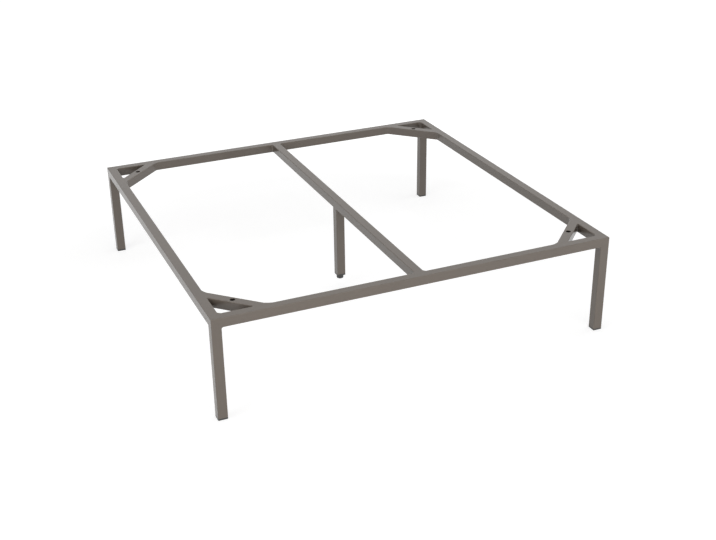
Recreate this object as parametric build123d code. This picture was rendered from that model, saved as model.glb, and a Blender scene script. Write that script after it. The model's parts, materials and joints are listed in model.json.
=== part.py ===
from build123d import *
import os
from math import cos, radians, sin, sqrt

# Square platform base: a low frame of square steel tube, welded and powder coated, that carries
# a seat or a top. Four mitred rails stand on a leg at each corner. A centre rail, with a short
# leg of its own, stiffens the middle, and a drilled brace crosses each corner.
# X runs along the front rail, Y from front to back and Z up. The origin is on the floor, under
# the middle of the frame. Sizes are in millimetres.

# Frame, over its outer faces
frame_width = 1080.0
frame_depth = 1080.0
frame_height = 272.0

# Square tube that every rail, leg and brace is cut from
tube_size = 25.0
tube_wall = 1.5
tube_corner_radius = 2.0
tube_inner_radius = 0.8

# Corner braces: the hole lies equally far in from the two outer faces beside it
hole_setback = 77.0
hole_diameter = 13.5

# Fillet welds in the inner corners
weld_size = 7.0

# Plastic end caps of the corner legs, held in the tube by fins
cap_flange = 5.0
cap_edge_chamfer = 1.0
cap_core_length = 18.0
cap_core_gap = 1.3  # from the core to the tube's wall
cap_core_chamfer = 2.0
cap_core_wall = 1.8
fin_thickness = 1.2
fin_pitch = 5.0
fin_count = 3
fin_clearance = 0.15

# Levelling foot of the centre leg, drawn as it is when wound fully in
foot_lift = 27.0  # from the floor to the foot, which is how far it can be wound down
pad_diameter = 20.0
pad_height = 10.5
pad_edge_chamfer = 2.2
pad_top_chamfer = 0.8
pad_gap = 0.5  # between the foot and the plug above it
stud_diameter = 8.0
stud_reach = 40.0  # above the foot
stud_seat = 7.0  # moulded into the foot
stud_tip_chamfer = 1.0
stud_seat_clearance = 0.05

# Plug in the centre leg, with the threaded bush that the stud turns in
plug_core_length = 24.0
bush_length = 20.0
bush_diameter = 12.0
bush_collar_diameter = 15.0
bush_collar_thickness = 2.0
bush_clearance = 0.1
thread_clearance = 0.25

# Worked out from the sizes above
rail_level = frame_height - tube_size / 2
rail_underside = frame_height - tube_size
tube_inside = tube_size - 2 * tube_wall
flat_face = tube_size - 2 * tube_corner_radius
cope = tube_corner_radius / 2  # how far a butted tube reaches past the other tube's rounded edge
ground_corner = (2 - sqrt(2)) * tube_corner_radius  # cut off each side, level with a leg's rounded edge
plug_underside = foot_lift + pad_height + pad_gap

# Each corner: the side of the frame that it is on in X and Y, and its turn about Z
corners = {
    "front_left": (-1, -1, 0),
    "front_right": (1, -1, 90),
    "back_right": (1, 1, 180),
    "back_left": (-1, 1, 270),
}


def at_corner(corner, piece):
    """Moves a piece from the corner at the origin, with rails along +X and +Y, to its own corner."""
    side_x, side_y, turn = corners[corner]
    return Pos(side_x * frame_width / 2, side_y * frame_depth / 2, 0) * Rot(0, 0, turn) * piece


def bar_profile():
    """The tube's outline, filled."""
    return RectangleRounded(tube_size, tube_size, tube_corner_radius)


def tube_profile():
    """The tube's section."""
    return bar_profile() - RectangleRounded(tube_inside, tube_inside, tube_inner_radius)


def along_x(profile, length):
    """A tube or bar along X, with its middle at the origin."""
    return extrude(Plane.YZ * profile, amount=length / 2, both=True)


def upright(profile, bottom, top):
    """A tube or bar along Z, from one height to another."""
    return Pos(0, 0, bottom) * extrude(profile, amount=top - bottom)


def mitred_rail(profile, length, distance, turn):
    """A rail along the front, that far out from the middle, with its ends cut to 45 degrees and
    the frame's sharp corners ground off. It is then turned about Z to its own side. The cutter
    reaches past the rail on every side."""
    past = tube_size
    tip = ground_corner / 2
    half_plan = [
        (length / 2 - ground_corner - past, -distance - past),
        (length / 2 - tip, tip - distance),
        (length / 2 - tube_size - past, tube_size + past - distance),
    ]
    other_half = [(-x, y) for x, y in reversed(half_plan)]
    mitre = Polygon(*half_plan, *other_half, align=None)
    bar = Pos(0, tube_size / 2 - distance, rail_level) * along_x(profile, length + 2 * past)
    return Rot(0, 0, turn) * (bar & extrude(mitre, amount=frame_height + past))


def rails(profile):
    """The four outer rails, by name."""
    sides = {
        "front_rail": (frame_width, frame_depth / 2, 0),
        "right_rail": (frame_depth, frame_width / 2, 90),
        "back_rail": (frame_width, frame_depth / 2, 180),
        "left_rail": (frame_depth, frame_width / 2, 270),
    }
    return {name: mitred_rail(profile, *place) for name, place in sides.items()}


def centre_bar(profile, length):
    """The centre rail's tube or bar, from front to back."""
    return Pos(0, 0, rail_level) * Rot(0, 0, 90) * along_x(profile, length)


def corner_leg():
    """A leg at the corner at the origin, still to be coped to the rails above it."""
    return Pos(tube_size / 2, tube_size / 2, 0) * upright(tube_profile(), cap_flange, rail_underside + cope)


def corner_brace():
    """A drilled brace across the corner at the origin, still to be coped to its two rails."""
    longest = 2 * (sqrt(2) * hole_setback + tube_size)
    middle = Pos(hole_setback, hole_setback, rail_level)
    tube = middle * Rot(0, 0, -45) * along_x(tube_profile(), longest)
    reach = Pos(tube_size - cope, tube_size - cope, rail_underside) * Box(
        longest, longest, tube_size, align=Align.MIN
    )
    hole = middle * Cylinder(hole_diameter / 2, 2 * tube_size)
    return (tube & reach) - hole


def fillet_weld(root, first_face, weld_line, opening, length):
    """A weld along a line through root. It fills the angle of that many degrees that opens from
    the direction first_face, turning about weld_line."""
    end = (weld_size * cos(radians(opening)), weld_size * sin(radians(opening)))
    section = Polygon((0, 0), (weld_size, 0), end, align=None)
    plane = Plane(origin=root, x_dir=first_face, z_dir=weld_line)
    return extrude(plane * section, amount=length / 2, both=True)


def upright_weld(x, y, first_angle, opening):
    """A weld along Z on the rails' inner faces, which opens from an angle in plan."""
    first_face = (cos(radians(first_angle)), sin(radians(first_angle)), 0)
    return fillet_weld((x, y, rail_level), first_face, (0, 0, 1), opening, flat_face)


def corner_leg_welds():
    """The two welds under the rails, on a corner leg's inner faces."""
    middle = tube_size / 2
    return [
        fillet_weld((tube_size, middle, rail_underside), (1, 0, 0), (0, 1, 0), 90, flat_face),
        fillet_weld((middle, tube_size, rail_underside), (0, 1, 0), (-1, 0, 0), 90, flat_face),
    ]


def brace_welds():
    """The welds at both ends of a brace: a wide angle towards the middle, a sharp one at the corner."""
    sharp = 45
    wide = 180 - sharp
    half_end = tube_size / sqrt(2)
    far = 2 * hole_setback - tube_size + half_end
    near = 2 * hole_setback - tube_size - half_end
    return [
        upright_weld(tube_size, far, -sharp, wide),
        upright_weld(tube_size, near, -90, sharp),
        upright_weld(far, tube_size, 0, wide),
        upright_weld(near, tube_size, wide, sharp),
    ]


def centre_leg_welds():
    """The welds under the centre rail, in front of and behind its leg."""
    half = tube_size / 2
    return [
        fillet_weld((0, half, rail_underside), (0, 1, 0), (-1, 0, 0), 90, flat_face),
        fillet_weld((0, -half, rail_underside), (0, -1, 0), (1, 0, 0), 90, flat_face),
    ]


def centre_rail_welds():
    """The welds at both ends of the centre rail."""
    half = tube_size / 2
    inner_face = frame_depth / 2 - tube_size
    return [
        upright_weld(half, -inner_face, 0, 90),
        upright_weld(-half, -inner_face, 90, 90),
        upright_weld(-half, inner_face, 180, 90),
        upright_weld(half, inner_face, 270, 90),
    ]


def end_cap(underside, core_length):
    """A cap for the end of a leg on the Z axis: a flange with a softened lower edge, and a core
    with fins on its four sides that reach out to the tube's wall."""
    flange = upright(bar_profile(), underside, underside + cap_flange)
    flange = chamfer(flange.edges().group_by(Axis.Z)[0], cap_edge_chamfer)
    top = underside + cap_flange
    core_size = tube_inside - 2 * cap_core_gap
    core_outline = chamfer(Rectangle(core_size, core_size).vertices(), cap_core_chamfer)
    core = upright(core_outline, top, top + core_length)
    fin_span = tube_inside - 2 * fin_clearance
    fin_width = core_size - 2 * cap_core_chamfer
    fin = Rectangle(fin_span, fin_width) + Rectangle(fin_width, fin_span)
    for number in range(1, fin_count + 1):
        level = top + number * fin_pitch
        core += upright(fin, level - fin_thickness, level)
    return flange + core


def foot_cap():
    """A corner leg's cap, on the floor at the origin, with a hollow core."""
    hollow_size = tube_inside - 2 * cap_core_gap - 2 * cap_core_wall
    hollow = upright(Rectangle(hollow_size, hollow_size), cap_flange, cap_flange + cap_core_length)
    return end_cap(0, cap_core_length) - hollow


def centre_plug():
    """The centre leg's cap, bored for the threaded bush and recessed for its collar."""
    seat_radius = bush_diameter / 2 + bush_clearance
    collar_radius = bush_collar_diameter / 2 + bush_clearance
    plug = end_cap(plug_underside, plug_core_length)
    plug -= upright(Circle(seat_radius), plug_underside, plug_underside + cap_flange + plug_core_length)
    plug -= upright(Circle(collar_radius), plug_underside, plug_underside + bush_collar_thickness)
    return plug


def threaded_bush():
    """The bush, pressed in from below until its collar is seated. Its bore clears the thread."""
    collar = upright(Circle(bush_collar_diameter / 2), plug_underside, plug_underside + bush_collar_thickness)
    barrel = upright(Circle(bush_diameter / 2), plug_underside, plug_underside + bush_length)
    bore = upright(
        Circle(stud_diameter / 2 + thread_clearance), plug_underside, plug_underside + bush_length
    )
    return collar + barrel - bore


def foot_stud():
    """The foot's threaded stud, as a plain rod over the crests, with a chamfered tip."""
    pad_top = foot_lift + pad_height
    stud = upright(Circle(stud_diameter / 2), pad_top - stud_seat, pad_top + stud_reach)
    return chamfer(stud.edges().group_by(Axis.Z)[-1], stud_tip_chamfer)


def foot_pad():
    """The round foot, moulded on the stud's end, with a softened lower edge."""
    pad_top = foot_lift + pad_height
    pad = upright(Circle(pad_diameter / 2), foot_lift, pad_top)
    pad = chamfer(pad.edges().group_by(Axis.Z)[0], pad_edge_chamfer)
    pad = chamfer(pad.edges().group_by(Axis.Z)[-1], pad_top_chamfer)
    return pad - upright(Circle(stud_diameter / 2 + stud_seat_clearance), pad_top - stud_seat, pad_top)


outer_rails = rails(tube_profile())
rail_bars = rails(bar_profile())
ring = rail_bars["front_rail"] + rail_bars["right_rail"] + rail_bars["back_rail"] + rail_bars["left_rail"]
centre_length = frame_depth - 2 * tube_size + 2 * cope
corner_middle = Pos(tube_size / 2, tube_size / 2, 0)

nodes = dict(outer_rails)
nodes["centre_rail"] = centre_bar(tube_profile(), centre_length) - ring
for corner in corners:
    nodes[corner + "_leg"] = at_corner(corner, corner_leg()) - ring
    nodes[corner + "_brace"] = at_corner(corner, corner_brace()) - ring
    nodes[corner + "_foot_cap"] = at_corner(corner, corner_middle * foot_cap())
centre_tube = upright(tube_profile(), plug_underside + cap_flange, rail_underside + cope)
nodes["centre_leg"] = centre_tube - centre_bar(bar_profile(), centre_length)
nodes["centre_plug"] = centre_plug()
nodes["threaded_bush"] = threaded_bush()
nodes["foot_stud"] = foot_stud()
nodes["foot_pad"] = foot_pad()

corner_legs_weld_list = [at_corner(corner, weld) for corner in corners for weld in corner_leg_welds()]
braces_weld_list = [at_corner(corner, weld) for corner in corners for weld in brace_welds()]
nodes["corner_leg_welds"] = Compound(corner_legs_weld_list)
nodes["brace_welds"] = Compound(braces_weld_list)
nodes["centre_leg_welds"] = Compound(centre_leg_welds())
nodes["centre_rail_welds"] = Compound(centre_rail_welds())

os.makedirs("parts", exist_ok=True)
for name, piece in nodes.items():
    export_step(piece, f"parts/{name}.step")
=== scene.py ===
import json
from math import cos, radians, sin
import bpy
import numpy as np
from mathutils import Matrix, Vector


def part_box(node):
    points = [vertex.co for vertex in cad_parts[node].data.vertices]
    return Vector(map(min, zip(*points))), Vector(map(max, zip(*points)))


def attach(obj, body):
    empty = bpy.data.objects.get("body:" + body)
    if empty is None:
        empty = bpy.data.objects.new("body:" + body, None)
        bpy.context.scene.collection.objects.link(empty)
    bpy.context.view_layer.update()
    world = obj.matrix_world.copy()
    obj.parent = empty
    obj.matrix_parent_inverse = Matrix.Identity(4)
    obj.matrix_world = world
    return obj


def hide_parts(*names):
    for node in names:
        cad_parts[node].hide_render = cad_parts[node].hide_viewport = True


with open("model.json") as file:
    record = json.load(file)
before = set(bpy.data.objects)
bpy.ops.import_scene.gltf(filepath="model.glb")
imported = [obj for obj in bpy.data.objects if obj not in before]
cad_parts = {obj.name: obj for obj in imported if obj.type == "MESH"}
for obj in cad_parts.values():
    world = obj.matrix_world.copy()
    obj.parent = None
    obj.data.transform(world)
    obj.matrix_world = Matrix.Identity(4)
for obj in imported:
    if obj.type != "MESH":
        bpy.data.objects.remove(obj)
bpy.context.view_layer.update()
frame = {"nodes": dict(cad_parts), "record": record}

# Square tube frame: rails, legs and braces cut from 25 mm square steel tube. The outer joints are
# ground flush after welding, and the whole frame is then powder coated in a warm grey, which bakes
# to a satin skin with a faint orange peel.
COAT_COLOUR = (0.158, 0.132, 0.110)
COAT_SHADE = (0.150, 0.126, 0.106)  # where the coat is a little thicker
COAT_ROUGHNESS = (0.20, 0.25)
COAT_IOR = 1.5
CLOUD_WAVES = 9.0       # slow changes of tone, to the metre
CLOUD_DETAIL = 4.0
SHEEN_WAVES = 45.0      # changes of gloss, to the metre
SHEEN_DETAIL = 3.0
PEEL_WAVES = 560.0      # orange peel, to the metre
PEEL_DETAIL = 2.0
PEEL_HEIGHT = 0.000035
TINT_SPAN = (0.35, 0.65)  # part of a pattern over which a colour changes
GLOSS_SPAN = (0.3, 0.7)   # part of a pattern over which a gloss changes


def start_material(name):
    """A material with its shader, and the piece's own coordinates for its patterns."""
    material = bpy.data.materials.new(name)
    material.use_nodes = True
    nodes = material.node_tree.nodes
    nodes.clear()
    output = nodes.new("ShaderNodeOutputMaterial")
    shader = nodes.new("ShaderNodeBsdfPrincipled")
    place = nodes.new("ShaderNodeTexCoord")
    material.node_tree.links.new(shader.outputs["BSDF"], output.inputs["Surface"])
    return material, shader, place.outputs["Object"]


def add_noise(material, place, waves, detail):
    """A noise pattern with that many waves to the metre, from 0 to 1."""
    noise = material.node_tree.nodes.new("ShaderNodeTexNoise")
    noise.inputs["Scale"].default_value = waves
    noise.inputs["Detail"].default_value = detail
    material.node_tree.links.new(place, noise.inputs["Vector"])
    return noise.outputs["Fac"]


def tint(material, shader, pattern, low_colour, high_colour):
    """Base colour that runs from one tone to another over the middle of a pattern."""
    ramp = material.node_tree.nodes.new("ShaderNodeValToRGB")
    low, high = ramp.color_ramp.elements
    low.position, high.position = TINT_SPAN
    low.color = (*low_colour, 1)
    high.color = (*high_colour, 1)
    material.node_tree.links.new(pattern, ramp.inputs["Fac"])
    material.node_tree.links.new(ramp.outputs["Color"], shader.inputs["Base Color"])


def map_range(tree, pattern, span, values):
    """A value that runs between two values, in a straight line, over a span of a pattern."""
    spread = tree.nodes.new("ShaderNodeMapRange")
    spread.inputs["From Min"].default_value, spread.inputs["From Max"].default_value = span
    spread.inputs["To Min"].default_value, spread.inputs["To Max"].default_value = values
    tree.links.new(pattern, spread.inputs["Value"])
    return spread.outputs["Result"]


def vary_roughness(material, shader, pattern, roughness):
    """Roughness that runs between two values with a pattern."""
    level = map_range(material.node_tree, pattern, GLOSS_SPAN, roughness)
    material.node_tree.links.new(level, shader.inputs["Roughness"])


def emboss(material, shader, pattern, height):
    """Bump of that height in metres."""
    bump = material.node_tree.nodes.new("ShaderNodeBump")
    bump.inputs["Strength"].default_value = 1.0
    bump.inputs["Distance"].default_value = height
    material.node_tree.links.new(pattern, bump.inputs["Height"])
    material.node_tree.links.new(bump.outputs["Normal"], shader.inputs["Normal"])


def powder_coat():
    """Warm grey, clouded in tone and gloss, with an orange peel."""
    material, shader, place = start_material("powder_coat")
    shader.inputs["IOR"].default_value = COAT_IOR
    tint(material, shader, add_noise(material, place, CLOUD_WAVES, CLOUD_DETAIL), COAT_SHADE, COAT_COLOUR)
    vary_roughness(material, shader, add_noise(material, place, SHEEN_WAVES, SHEEN_DETAIL), COAT_ROUGHNESS)
    emboss(material, shader, add_noise(material, place, PEEL_WAVES, PEEL_DETAIL), PEEL_HEIGHT)
    return material


def nodes_with_slot(slot):
    """Names of the parts that the record gives this finish."""
    return [row["node"] for row in frame["record"]["subparts"] if row["material_slot"] == slot]


def dress(names, material):
    """Puts one material on parts of the frame."""
    for name in names:
        mesh = frame["nodes"][name].data
        mesh.materials.clear()
        mesh.materials.append(material)


coat = powder_coat()
dress([name for name in nodes_with_slot("powder_coat") if not name.endswith("welds")], coat)

# Fillet welds: one run of weld metal in each inner corner between two tubes, coated with the rest. The
# runs under the rails are left as laid and taper out at both ends. The upright runs are ground off level
# with the rails' tops, and the coat softens the ripples of all.
WELD_LEG = 0.007
MITRE_LEG = 0.006
CENTRE_LEG = 0.004      # between the centre rail and the front and back rails
SHARP_LEG = 0.003       # in the sharp angles between the braces and the corners
WELD_REACH = 0.84       # length of a run as laid, as a share of the tube
WELD_SINK = 0.0019      # how far an upright run fills the tubes' rounded edges
WELD_HOLLOW = 0.10      # of the leg
WELD_WANDER = 0.05      # of the leg
WANDER_WAVES = 1.7      # along a run
WANDER_SHIFT = 0.37     # of a wave, from one run to the next
TAPER_POWER = 5
GROUND_ROUND = 0.0008   # radius left on a ground end
GROUND_FLAT = 0.93      # share of a ground end that is flat
GROUND_DEPTH = 0.00002  # below the tubes' faces
RIPPLE_PITCH = 0.0021
RIPPLE_HEIGHT = 0.00013
RIPPLE_LAG = 0.9        # turns by which a ripple's middle trails its ends
WELD_STEPS_ALONG = 120
WELD_STEPS_ACROSS = 14
WELD_CREASE = radians(60)


def close_rings(start, rings, end):
    """Vertices, quads and triangles of a skin of closed rings, joined by quads, with a fan of triangles to
    a point at each end. It faces outwards where the rings turn anticlockwise about their direction of
    travel."""
    count, size = rings.shape[:2]
    vertices = np.concatenate([[start], rings.reshape(-1, 3), [end]])
    number = 1 + np.arange(count * size).reshape(count, size)
    beside = np.roll(number, -1, axis=1)
    quads = np.stack([number[:-1], beside[:-1], beside[1:], number[1:]], -1).reshape(-1, 4)
    first = np.stack([np.zeros(size, int), beside[0], number[0]], -1)
    last = np.stack([np.full(size, count * size + 1), number[-1], beside[-1]], -1)
    return vertices, quads, np.concatenate([first, last])


def weld_run(root, first, second, length, number, full_leg=WELD_LEG, ground=False):
    """One weld in the angle between two faces. Across it, s goes from 0 at the toe on the first face to 1
    at the toe on the second: the point lies on the line between the toes, and moves along the angle's
    bisector by 4s(1-s) times a hollow and a cosine ripple that trails in the middle. Along it, t goes from
    0 to 1 in steps that close up at the ends, and the leg is the root of 1 - |2t-1|^5 times a slow wander.
    A ground run keeps its full leg to its far end, where a quarter circle takes its edge off, and its toes
    and root reach into the tubes, along the face and back along the bisector."""
    along = np.array(first.cross(second).normalized())
    bisector = np.array((first + second).normalized())
    across = np.array((first - second).normalized())
    half_angle = first.angle(second) / 2
    steps = np.linspace(0, 1, WELD_STEPS_ALONG + 1)[1:-1, None]
    t = (1 - np.cos(np.pi * steps)) / 2
    s = np.linspace(0, 1, WELD_STEPS_ACROSS + 1)[None, :]
    share = np.sqrt(1 - np.abs(2 * t - 1) ** TAPER_POWER)
    if ground:
        rounding = np.clip(1 - (1 - t) * length / GROUND_ROUND, 0, 1)
        rounded = 1 - GROUND_ROUND / full_leg * (1 - np.sqrt(1 - rounding ** 2))
        share = np.where(t < 0.5, share, rounded)
    wander = 1 + WELD_WANDER * np.sin(2 * np.pi * (WANDER_WAVES * t + WANDER_SHIFT * number))
    leg = full_leg * share * wander
    belly = 4 * s * (1 - s)
    ripple = np.cos(2 * np.pi * (t * length / RIPPLE_PITCH - RIPPLE_LAG * belly))
    lift = belly * leg / WELD_LEG * (RIPPLE_HEIGHT * ripple - WELD_HOLLOW * WELD_LEG)
    spine = np.array(root) + (t - 0.5)[..., None] * length * along
    toes = (1 - s)[..., None] * np.array(first) + s[..., None] * np.array(second)
    face = spine + leg[..., None] * toes + lift[..., None] * bisector
    start = np.array(root) - along * length / 2
    end = np.array(root) + along * length / 2
    if not ground:
        return close_rings(start, np.concatenate([face, spine], axis=1), end)
    sink = WELD_SINK * share[..., None]
    spread = sink / cos(half_angle) * across
    buried = spine - sink / sin(half_angle) * bisector
    rings = np.concatenate([face[:, :1] + spread, face, face[:, -1:] - spread, buried], axis=1)
    middle = end + full_leg / 4 * np.array(first + second)
    flat = middle + GROUND_FLAT * (rings[-1:] - middle)
    return close_rings(start, np.concatenate([rings, flat]), middle)


def add_piece(name, skins, material, body, crease, node=None):
    """One object from several closed skins, with edges sharper than crease left sharp. It rides on a body,
    and stands for a part of the frame if one is named."""
    faces, start = [], 0
    for vertices, quads, triangles in skins:
        faces += (start + quads).tolist() + (start + triangles).tolist()
        start += len(vertices)
    mesh = bpy.data.meshes.new(name)
    mesh.from_pydata(np.concatenate([vertices for vertices, _, _ in skins]), [], faces)
    mesh.shade_smooth()
    mesh.set_sharp_from_angle(angle=crease)
    mesh.materials.append(material)
    piece = bpy.data.objects.new(name, mesh)
    bpy.context.scene.collection.objects.link(piece)
    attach(piece, body)
    if node:
        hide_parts(node)


rail_low, rail_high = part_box("front_rail")
tube = rail_high.z - rail_low.z
inner_face = rail_low.y + tube
weld_length = WELD_REACH * tube
weld_foot = (rail_high.z + rail_low.z - weld_length) / 2
weld_top = rail_high.z - GROUND_DEPTH
up = Vector((0, 0, 1))
down = -up

# A brace's hole lies the setback in from both outer faces. The brace runs through it at 45 degrees, so its
# two sides meet the rails' inner faces at brace_near and brace_far from the outer corner.
hole_spacing = frame["record"]["mounts"][0]["dims"]["spacing_x_mm"] / 1000
setback = -rail_low.y - hole_spacing / 2
brace_near = 2 * setback - tube - tube / 2 ** 0.5
brace_far = 2 * setback - tube + tube / 2 ** 0.5


def turned(quarter, x, y, z):
    """A point of the first quarter of the frame, turned about the frame's middle to another."""
    return Matrix.Rotation(radians(90 * quarter), 3, "Z") @ Vector((x, y, z))


def at_corner(quarter, x, y, z):
    """The point that lies x and y in from the frame's outer corner in a quarter."""
    return turned(quarter, rail_low.y + x, rail_low.y + y, z)


def facing(quarter, angle):
    """Direction in plan at that many degrees from X, in a quarter."""
    return turned(quarter, cos(radians(angle)), sin(radians(angle)), 0)


def upright_weld(quarter, root, angle, opening, leg, number):
    """A weld that stands at a point of the plan, in an angle that opens from a direction in plan, and is
    ground off just under the rails' tops."""
    middle = Vector((root.x, root.y, (weld_foot + weld_top) / 2))
    faces = (facing(quarter, angle), facing(quarter, angle + opening))
    return weld_run(middle, *faces, weld_top - weld_foot, number, leg, True)


leg_welds, brace_welds, mitre_welds, centre_leg_welds, centre_rail_welds = [], [], [], [], []
for quarter in range(4):
    mitre = at_corner(quarter, tube, tube, 0)
    mitre_welds.append(upright_weld(quarter, mitre, 0, 90, MITRE_LEG, quarter))
    root = at_corner(quarter, tube, tube / 2, rail_low.z)
    leg_welds.append(weld_run(root, facing(quarter, 0), down, weld_length, len(leg_welds)))
    root = at_corner(quarter, tube / 2, tube, rail_low.z)
    leg_welds.append(weld_run(root, down, facing(quarter, 90), weld_length, len(leg_welds)))
    brace_ends = [
        (tube, brace_far, -45, 135, WELD_LEG),
        (tube, brace_near, -90, 45, SHARP_LEG),
        (brace_far, tube, 0, 135, WELD_LEG),
        (brace_near, tube, 135, 45, SHARP_LEG),
    ]
    for x, y, angle, opening, leg in brace_ends:
        root = at_corner(quarter, x, y, 0)
        brace_welds.append(upright_weld(quarter, root, angle, opening, leg, len(brace_welds)))
for quarter in (0, 2):
    root = turned(quarter, 0, tube / 2, rail_low.z)
    centre_leg_welds.append(weld_run(root, down, facing(quarter, 90), weld_length, quarter))
    for side, angle in ((1, 0), (-1, 90)):
        root = turned(quarter, side * tube / 2, inner_face, 0)
        centre_rail_welds.append(upright_weld(quarter, root, angle, 90, CENTRE_LEG, quarter + side))


def add_welds(name, runs, node=None):
    """One object from several runs of weld, fixed to the frame and coated with it."""
    add_piece(name, runs, coat, "frame", WELD_CREASE, node)


add_welds("leg_weld_runs", leg_welds, "corner_leg_welds")
add_welds("brace_weld_runs", brace_welds, "brace_welds")
add_welds("mitre_weld_runs", mitre_welds)
add_welds("centre_leg_weld_runs", centre_leg_welds, "centre_leg_welds")
add_welds("centre_rail_weld_runs", centre_rail_welds, "centre_rail_welds")

# Ground seams: where one tube ends flush with another's face, the joint is filled with weld and ground
# level before the coat, so that no gap shows there.
SEAM_HALF_WIDTH = 0.0009
SEAM_DEPTH = 0.0012
SEAM_POINTS = 13
SEAM_PLACE = 0.0015     # from the other tube's face to the seam's middle
SEAM_SHORT = 0.0012     # how far a seam on an outer face stops short of the leg's edges


def ground_seam(start, end, outward):
    """A bar from start to end whose section is half an ellipse: its flat side lies just under the tubes'
    faces, towards outward, and the curve goes from one edge down into the metal and up to the other."""
    across = np.array((end - start).cross(outward).normalized())
    outward = np.array(outward)
    angle = np.linspace(0, np.pi, SEAM_POINTS)[None, :, None]
    depth = GROUND_DEPTH + SEAM_DEPTH * np.sin(angle)
    section = SEAM_HALF_WIDTH * np.cos(angle) * across - depth * outward
    middles = np.array([start, end])
    buried = middles - SEAM_DEPTH / 2 * outward
    return close_rings(buried[0], middles[:, None, :] + section, buried[1])


seams = []
beside = tube - SEAM_PLACE
centre_end = inner_face - SEAM_PLACE
leg_top = rail_low.z + SEAM_PLACE
leg_edges = (SEAM_SHORT, tube - SEAM_SHORT)
for quarter in range(4):
    for level, outward in ((rail_high.z, up), (rail_low.z, down)):
        ends = [at_corner(quarter, beside, y, level) for y in (brace_near, brace_far)]
        seams.append(ground_seam(*ends, outward))
        ends = [at_corner(quarter, x, beside, level) for x in (brace_near, brace_far)]
        seams.append(ground_seam(*ends, outward))
        if quarter in (0, 2):
            ends = [turned(quarter, x, centre_end, level) for x in (-tube / 2, tube / 2)]
            seams.append(ground_seam(*ends, outward))
    front = [at_corner(quarter, x, 0, leg_top) for x in leg_edges]
    left = [at_corner(quarter, 0, y, leg_top) for y in leg_edges]
    seams.append(ground_seam(*front, facing(quarter, -90)))
    seams.append(ground_seam(*left, facing(quarter, 180)))
    seams.append(ground_seam(left[0], front[0], facing(quarter, 225)))
    if quarter in (0, 2):
        ends = [turned(quarter, tube / 2, y - tube / 2, leg_top) for y in leg_edges]
        seams.append(ground_seam(*ends, facing(quarter, 0)))
add_welds("ground_seams", seams)

# End caps and centre plug: moulded in dark grey polyethylene and pressed into the legs, where fins
# grip the wall. Only the flange shows. Its skin has the fine grain of a spark-eroded mould.
PLASTIC_COLOUR = (0.057, 0.0565, 0.055)
PLASTIC_SHADE = (0.050, 0.0495, 0.048)
PLASTIC_ROUGHNESS = (0.42, 0.55)
PLASTIC_IOR = 1.5
MOTTLE_WAVES = 120.0    # to the metre
MOTTLE_DETAIL = 3.0
GRAIN_WAVES = 2600.0    # to the metre
GRAIN_DETAIL = 2.0
GRAIN_HEIGHT = 0.000012


def moulded_plastic():
    """Dark grey, a little mottled in tone and gloss, with a fine grain."""
    material, shader, place = start_material("dark_plastic")
    shader.inputs["IOR"].default_value = PLASTIC_IOR
    mottle = add_noise(material, place, MOTTLE_WAVES, MOTTLE_DETAIL)
    tint(material, shader, mottle, PLASTIC_SHADE, PLASTIC_COLOUR)
    vary_roughness(material, shader, mottle, PLASTIC_ROUGHNESS)
    emboss(material, shader, add_noise(material, place, GRAIN_WAVES, GRAIN_DETAIL), GRAIN_HEIGHT)
    return material


plastic = moulded_plastic()
dress(nodes_with_slot("dark_plastic"), plastic)

# Threaded bush: a collared steel bush, zinc plated, pressed into the plug from below. The foot's stud
# turns in it.
ZINC_COLOUR = (0.60, 0.61, 0.62)
ZINC_SHADE = (0.52, 0.53, 0.55)
ZINC_ROUGHNESS = (0.24, 0.40)
SPANGLE_WAVES = 700.0   # to the metre
SPANGLE_DETAIL = 3.0
PLATE_WAVES = 4000.0    # to the metre
PLATE_DETAIL = 2.0
PLATE_HEIGHT = 0.000003


def zinc_plate():
    """Bright metal, spangled in tone and gloss, with a very fine tooth."""
    material, shader, place = start_material("zinc_steel")
    shader.inputs["Metallic"].default_value = 1.0
    spangle = add_noise(material, place, SPANGLE_WAVES, SPANGLE_DETAIL)
    tint(material, shader, spangle, ZINC_SHADE, ZINC_COLOUR)
    vary_roughness(material, shader, spangle, ZINC_ROUGHNESS)
    emboss(material, shader, add_noise(material, place, PLATE_WAVES, PLATE_DETAIL), PLATE_HEIGHT)
    return material


zinc = zinc_plate()
dress(nodes_with_slot("zinc_steel"), zinc)

# Levelling foot: a zinc plated M8 stud with a round plastic foot moulded on its end. Turning it
# raises or lowers the foot under the centre leg.
THREAD_PITCH = 0.00125
THREAD_DEPTH = 0.613 * THREAD_PITCH
CREST_END = 1 / 16      # of the pitch, from the middle of the crest
FLANK_END = 3 / 8       # of the pitch, from the middle of the crest
THREAD_STEPS = 12       # to one pitch
STUD_SIDES = 48
STUD_CHAMFER = 0.001
STUD_CREASE = radians(45)
PAD_SIDES = 96
PAD_LOWER_ROUND = 0.0026
PAD_UPPER_ROUND = 0.0009
PAD_ROUND_POINTS = 9
PAD_DISH = 0.0004
PAD_DISH_SPAN = (0.45, 0.62)  # of the radius: where the dish's flat ends, and where its rim starts
PAD_CREASE = radians(35)
SOCKET_GAP = 0.00005


def rings_about_z(radius, height, sides):
    """Rings about the Z axis: radius gives one row for each height, all round or by angle."""
    angle = np.linspace(0, 2 * np.pi, sides, endpoint=False)[None, :]
    radius = np.broadcast_to(radius, (len(height), sides))
    level = np.broadcast_to(height[:, None], radius.shape)
    return np.stack([radius * np.cos(angle), radius * np.sin(angle), level], -1)


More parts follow.
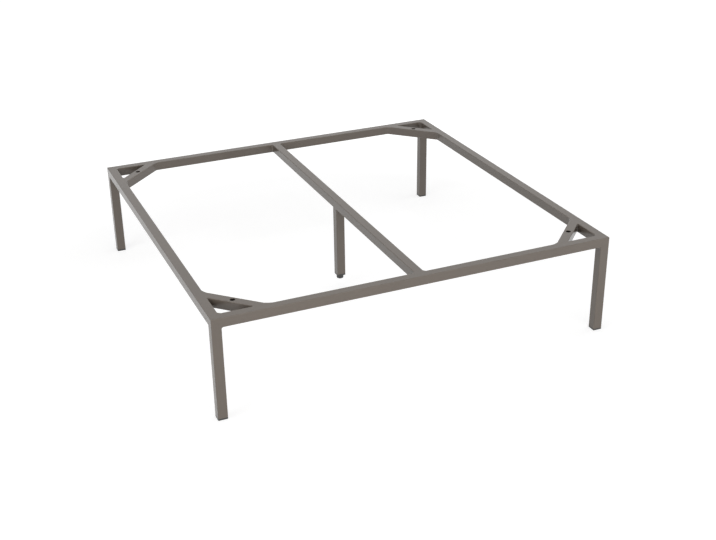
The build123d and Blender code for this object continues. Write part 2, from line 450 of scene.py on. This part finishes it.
def threaded_stud(low, high, crest):
    """A rod about Z whose radius follows a helix. The phase is the height in pitches less the angle in
    turns; the tooth is a flat crest over an eighth of the pitch, flanks that fall in a straight line, and
    a flat root over a quarter. A cone cuts it back at the tip."""
    count = int(round((high - low) / THREAD_PITCH * THREAD_STEPS))
    height = np.linspace(low, high, count)
    angle = np.linspace(0, 1, STUD_SIDES, endpoint=False)[None, :]
    phase = (height[:, None] / THREAD_PITCH - angle) % 1
    from_crest = np.abs(phase - 0.5)
    tooth = np.clip((FLANK_END - from_crest) / (FLANK_END - CREST_END), 0, 1)
    cone = crest - STUD_CHAMFER + (high - height)[:, None]
    radius = np.minimum(crest - THREAD_DEPTH * (1 - tooth), cone)
    rings = rings_about_z(radius, height, STUD_SIDES)
    return close_rings((0, 0, low), rings, (0, 0, high))


def quarter_round(radius, centre_r, centre_z, start):
    """Profile points of a quarter circle, anticlockwise from an angle in degrees."""
    angle = np.radians(start + np.linspace(0, 90, PAD_ROUND_POINTS))
    return np.stack([centre_r + radius * np.cos(angle), centre_z + radius * np.sin(angle)], -1)


def round_foot(low, high, radius, socket, floor_of_socket):
    """A turned profile, from the middle of the underside, out over a shallow dish, round the lower edge,
    up the side, round the upper edge and down into the socket for the stud."""
    flat, rim = PAD_DISH_SPAN
    profile = np.concatenate([
        [(flat * radius, low + PAD_DISH), (rim * radius, low)],
        quarter_round(PAD_LOWER_ROUND, radius - PAD_LOWER_ROUND, low + PAD_LOWER_ROUND, -90),
        quarter_round(PAD_UPPER_ROUND, radius - PAD_UPPER_ROUND, high - PAD_UPPER_ROUND, 0),
        [(socket, high), (socket, floor_of_socket)],
    ])
    rings = rings_about_z(profile[:, :1], profile[:, 1], PAD_SIDES)
    return close_rings((0, 0, low + PAD_DISH), rings, (0, 0, floor_of_socket))


stud_low, stud_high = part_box("foot_stud")
pad_low, pad_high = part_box("foot_pad")
stud = threaded_stud(stud_low.z, stud_high.z, stud_high.x)
foot = round_foot(pad_low.z, pad_high.z, pad_high.x, stud_high.x + SOCKET_GAP, stud_low.z)
add_piece("threaded_stud", [stud], zinc, "levelling_foot", STUD_CREASE, "foot_stud")
add_piece("round_foot", [foot], plastic, "levelling_foot", PAD_CREASE, "foot_pad")

# Studio: a white floor that fades into a white room, lit by large soft boxes all round and overhead. The
# front and the left are the brighter sides, and the low boxes stand just off the floor.
FLOOR_REACH = 30.0
FLOOR_BOUNCE = 0.3      # share of light that the floor gives back to the object
FLOOR_SHADOW = 0.50     # share of the floor's whiteness that a shadow can take
FLOOR_GLOW = (0.70, 1.0)  # in the middle, and far from it
GLOW_SPAN = (0.9, 1.6)    # metres from the middle
ROOM_GLOW = (0.08, 1.0)   # as a light on the object, and as it is seen
LAMP_AIM = Vector((0, 0, 0.2))

floor_mesh = bpy.data.meshes.new("floor")
floor_corners = FLOOR_REACH * np.array([(-1, -1, 0), (1, -1, 0), (1, 1, 0), (-1, 1, 0)])
floor_mesh.from_pydata(floor_corners, [], [(0, 1, 2, 3)])
floor = bpy.data.objects.new("floor", floor_mesh)
bpy.context.scene.collection.objects.link(floor)


def seen_directly(tree):
    """1 for rays from the camera, from a gloss or through glass, and 0 for light that bounces."""
    rays = tree.nodes.new("ShaderNodeLightPath")
    either = tree.nodes.new("ShaderNodeMath")
    any_ray = tree.nodes.new("ShaderNodeMath")
    either.operation = any_ray.operation = "MAXIMUM"
    tree.links.new(rays.outputs["Is Camera Ray"], either.inputs[0])
    tree.links.new(rays.outputs["Is Glossy Ray"], either.inputs[1])
    tree.links.new(either.outputs["Value"], any_ray.inputs[0])
    tree.links.new(rays.outputs["Is Transmission Ray"], any_ray.inputs[1])
    return any_ray.outputs["Value"]


def white_floor():
    """A floor that glows nearly white where it is seen, plus the light that falls on it, so that a
    shadow takes only a share. Its glow rises away from the middle, where the lamps reach less."""
    material = bpy.data.materials.new("white_floor")
    material.use_nodes = True
    tree = material.node_tree
    tree.nodes.clear()
    output = tree.nodes.new("ShaderNodeOutputMaterial")
    place = tree.nodes.new("ShaderNodeTexCoord")
    distance = tree.nodes.new("ShaderNodeVectorMath")
    distance.operation = "LENGTH"
    glow = tree.nodes.new("ShaderNodeEmission")
    lit = tree.nodes.new("ShaderNodeBsdfDiffuse")
    bounce = tree.nodes.new("ShaderNodeBsdfDiffuse")
    white = tree.nodes.new("ShaderNodeAddShader")
    choice = tree.nodes.new("ShaderNodeMixShader")
    lit.inputs["Color"].default_value = (FLOOR_SHADOW,) * 3 + (1,)
    bounce.inputs["Color"].default_value = (FLOOR_BOUNCE,) * 3 + (1,)
    tree.links.new(place.outputs["Object"], distance.inputs[0])
    level = map_range(tree, distance.outputs["Value"], GLOW_SPAN, FLOOR_GLOW)
    tree.links.new(level, glow.inputs["Strength"])
    tree.links.new(glow.outputs["Emission"], white.inputs[0])
    tree.links.new(lit.outputs["BSDF"], white.inputs[1])
    tree.links.new(seen_directly(tree), choice.inputs["Fac"])
    tree.links.new(bounce.outputs["BSDF"], choice.inputs[1])
    tree.links.new(white.outputs["Shader"], choice.inputs[2])
    tree.links.new(choice.outputs["Shader"], output.inputs["Surface"])
    return material


def white_room():
    """A world that is white where it is seen and gives the object a little light from all round."""
    room = bpy.data.worlds.new("white_room")
    room.use_nodes = True
    tree = room.node_tree
    tree.nodes.clear()
    output = tree.nodes.new("ShaderNodeOutputWorld")
    light = tree.nodes.new("ShaderNodeBackground")
    light.inputs["Color"].default_value = (1, 1, 1, 1)
    level = map_range(tree, seen_directly(tree), (0, 1), ROOM_GLOW)
    tree.links.new(level, light.inputs["Strength"])
    tree.links.new(light.outputs["Background"], output.inputs["Surface"])
    return room


def soft_box(name, watts, width, height, place):
    """A rectangular lamp at a place, in metres, that faces the object and that no camera or gloss sees."""
    lamp = bpy.data.lights.new(name, "AREA")
    lamp.shape = "RECTANGLE"
    lamp.size = width
    lamp.size_y = height
    lamp.energy = watts
    box = bpy.data.objects.new(name, lamp)
    box.location = place
    box.visible_camera = False
    box.visible_glossy = False
    box.rotation_euler = (LAMP_AIM - Vector(place)).to_track_quat("-Z", "Y").to_euler()
    bpy.context.scene.collection.objects.link(box)


floor_mesh.materials.append(white_floor())
bpy.context.scene.world = white_room()
soft_box("overhead_box", 23, 2.6, 2.6, (0, 0, 2.2))
soft_box("left_box", 24, 2.0, 1.5, (-2.6, -0.8, 1.4))
soft_box("right_box", 14, 2.0, 1.5, (2.6, 0, 1.4))
soft_box("front_box", 18, 3.0, 1.2, (0, -3.0, 1.2))
soft_box("low_front_box", 40, 3.2, 0.6, (0, -3.0, 0.35))
soft_box("low_back_box", 20, 3.2, 0.6, (0, 3.0, 0.35))

# Camera: in front and to the left, a little above head height of someone sitting, as in the
# photograph.
CAMERA_PLACE = Vector((-1.127, -2.757, 1.4935))
CAMERA_AIM = Vector((0.0573, 0, 0.0388))
CAMERA_ROLL = radians(-0.77)
CAMERA_LENS = 57.12     # millimetres
FILM_WIDTH = 36.0       # millimetres

lens = bpy.data.cameras.new("camera")
lens.sensor_width = FILM_WIDTH
lens.lens = CAMERA_LENS
camera = bpy.data.objects.new("camera", lens)
look = (CAMERA_AIM - CAMERA_PLACE).to_track_quat("-Z", "Y").to_matrix()
look = look @ Matrix.Rotation(CAMERA_ROLL, 3, "Z")
camera.matrix_world = Matrix.Translation(CAMERA_PLACE) @ look.to_4x4()
bpy.context.scene.collection.objects.link(camera)
bpy.context.scene.camera = camera
bpy.context.scene.view_settings.view_transform = "Standard"
